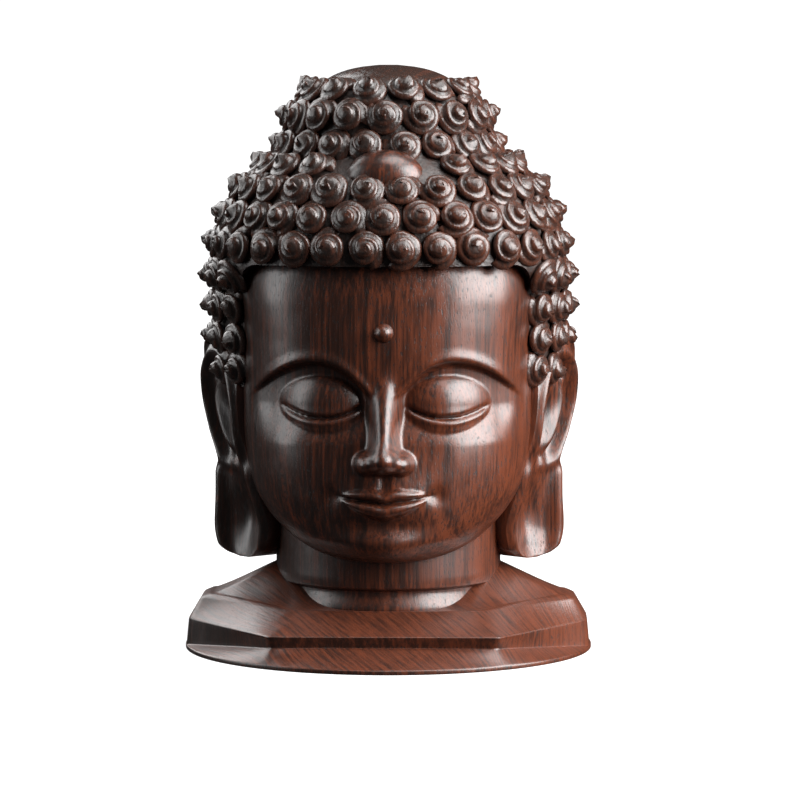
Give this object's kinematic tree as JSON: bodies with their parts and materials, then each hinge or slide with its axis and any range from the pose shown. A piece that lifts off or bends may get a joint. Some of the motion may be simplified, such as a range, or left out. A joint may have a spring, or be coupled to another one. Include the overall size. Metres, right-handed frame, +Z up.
{
  "type": "carved buddha head figurine",
  "caption": "Small wooden Buddha head with snail-shell curls, long ears, neck and shoulders on a faceted slab and a round foot, carved in one piece.",
  "frame": {"origin": "middle of the round foot's underside", "axes": "+Z up along the head's height; the face looks along -Y; +X to the right of someone who faces it"},
  "size_m": [0.042, 0.042, 0.06],
  "materials": {
    "dark_wood": "dark reddish-brown hardwood, carved and polished"
  },
  "bodies": {
    "root": {"buddha_head": "dark_wood"}
  },
  "joints": []
}
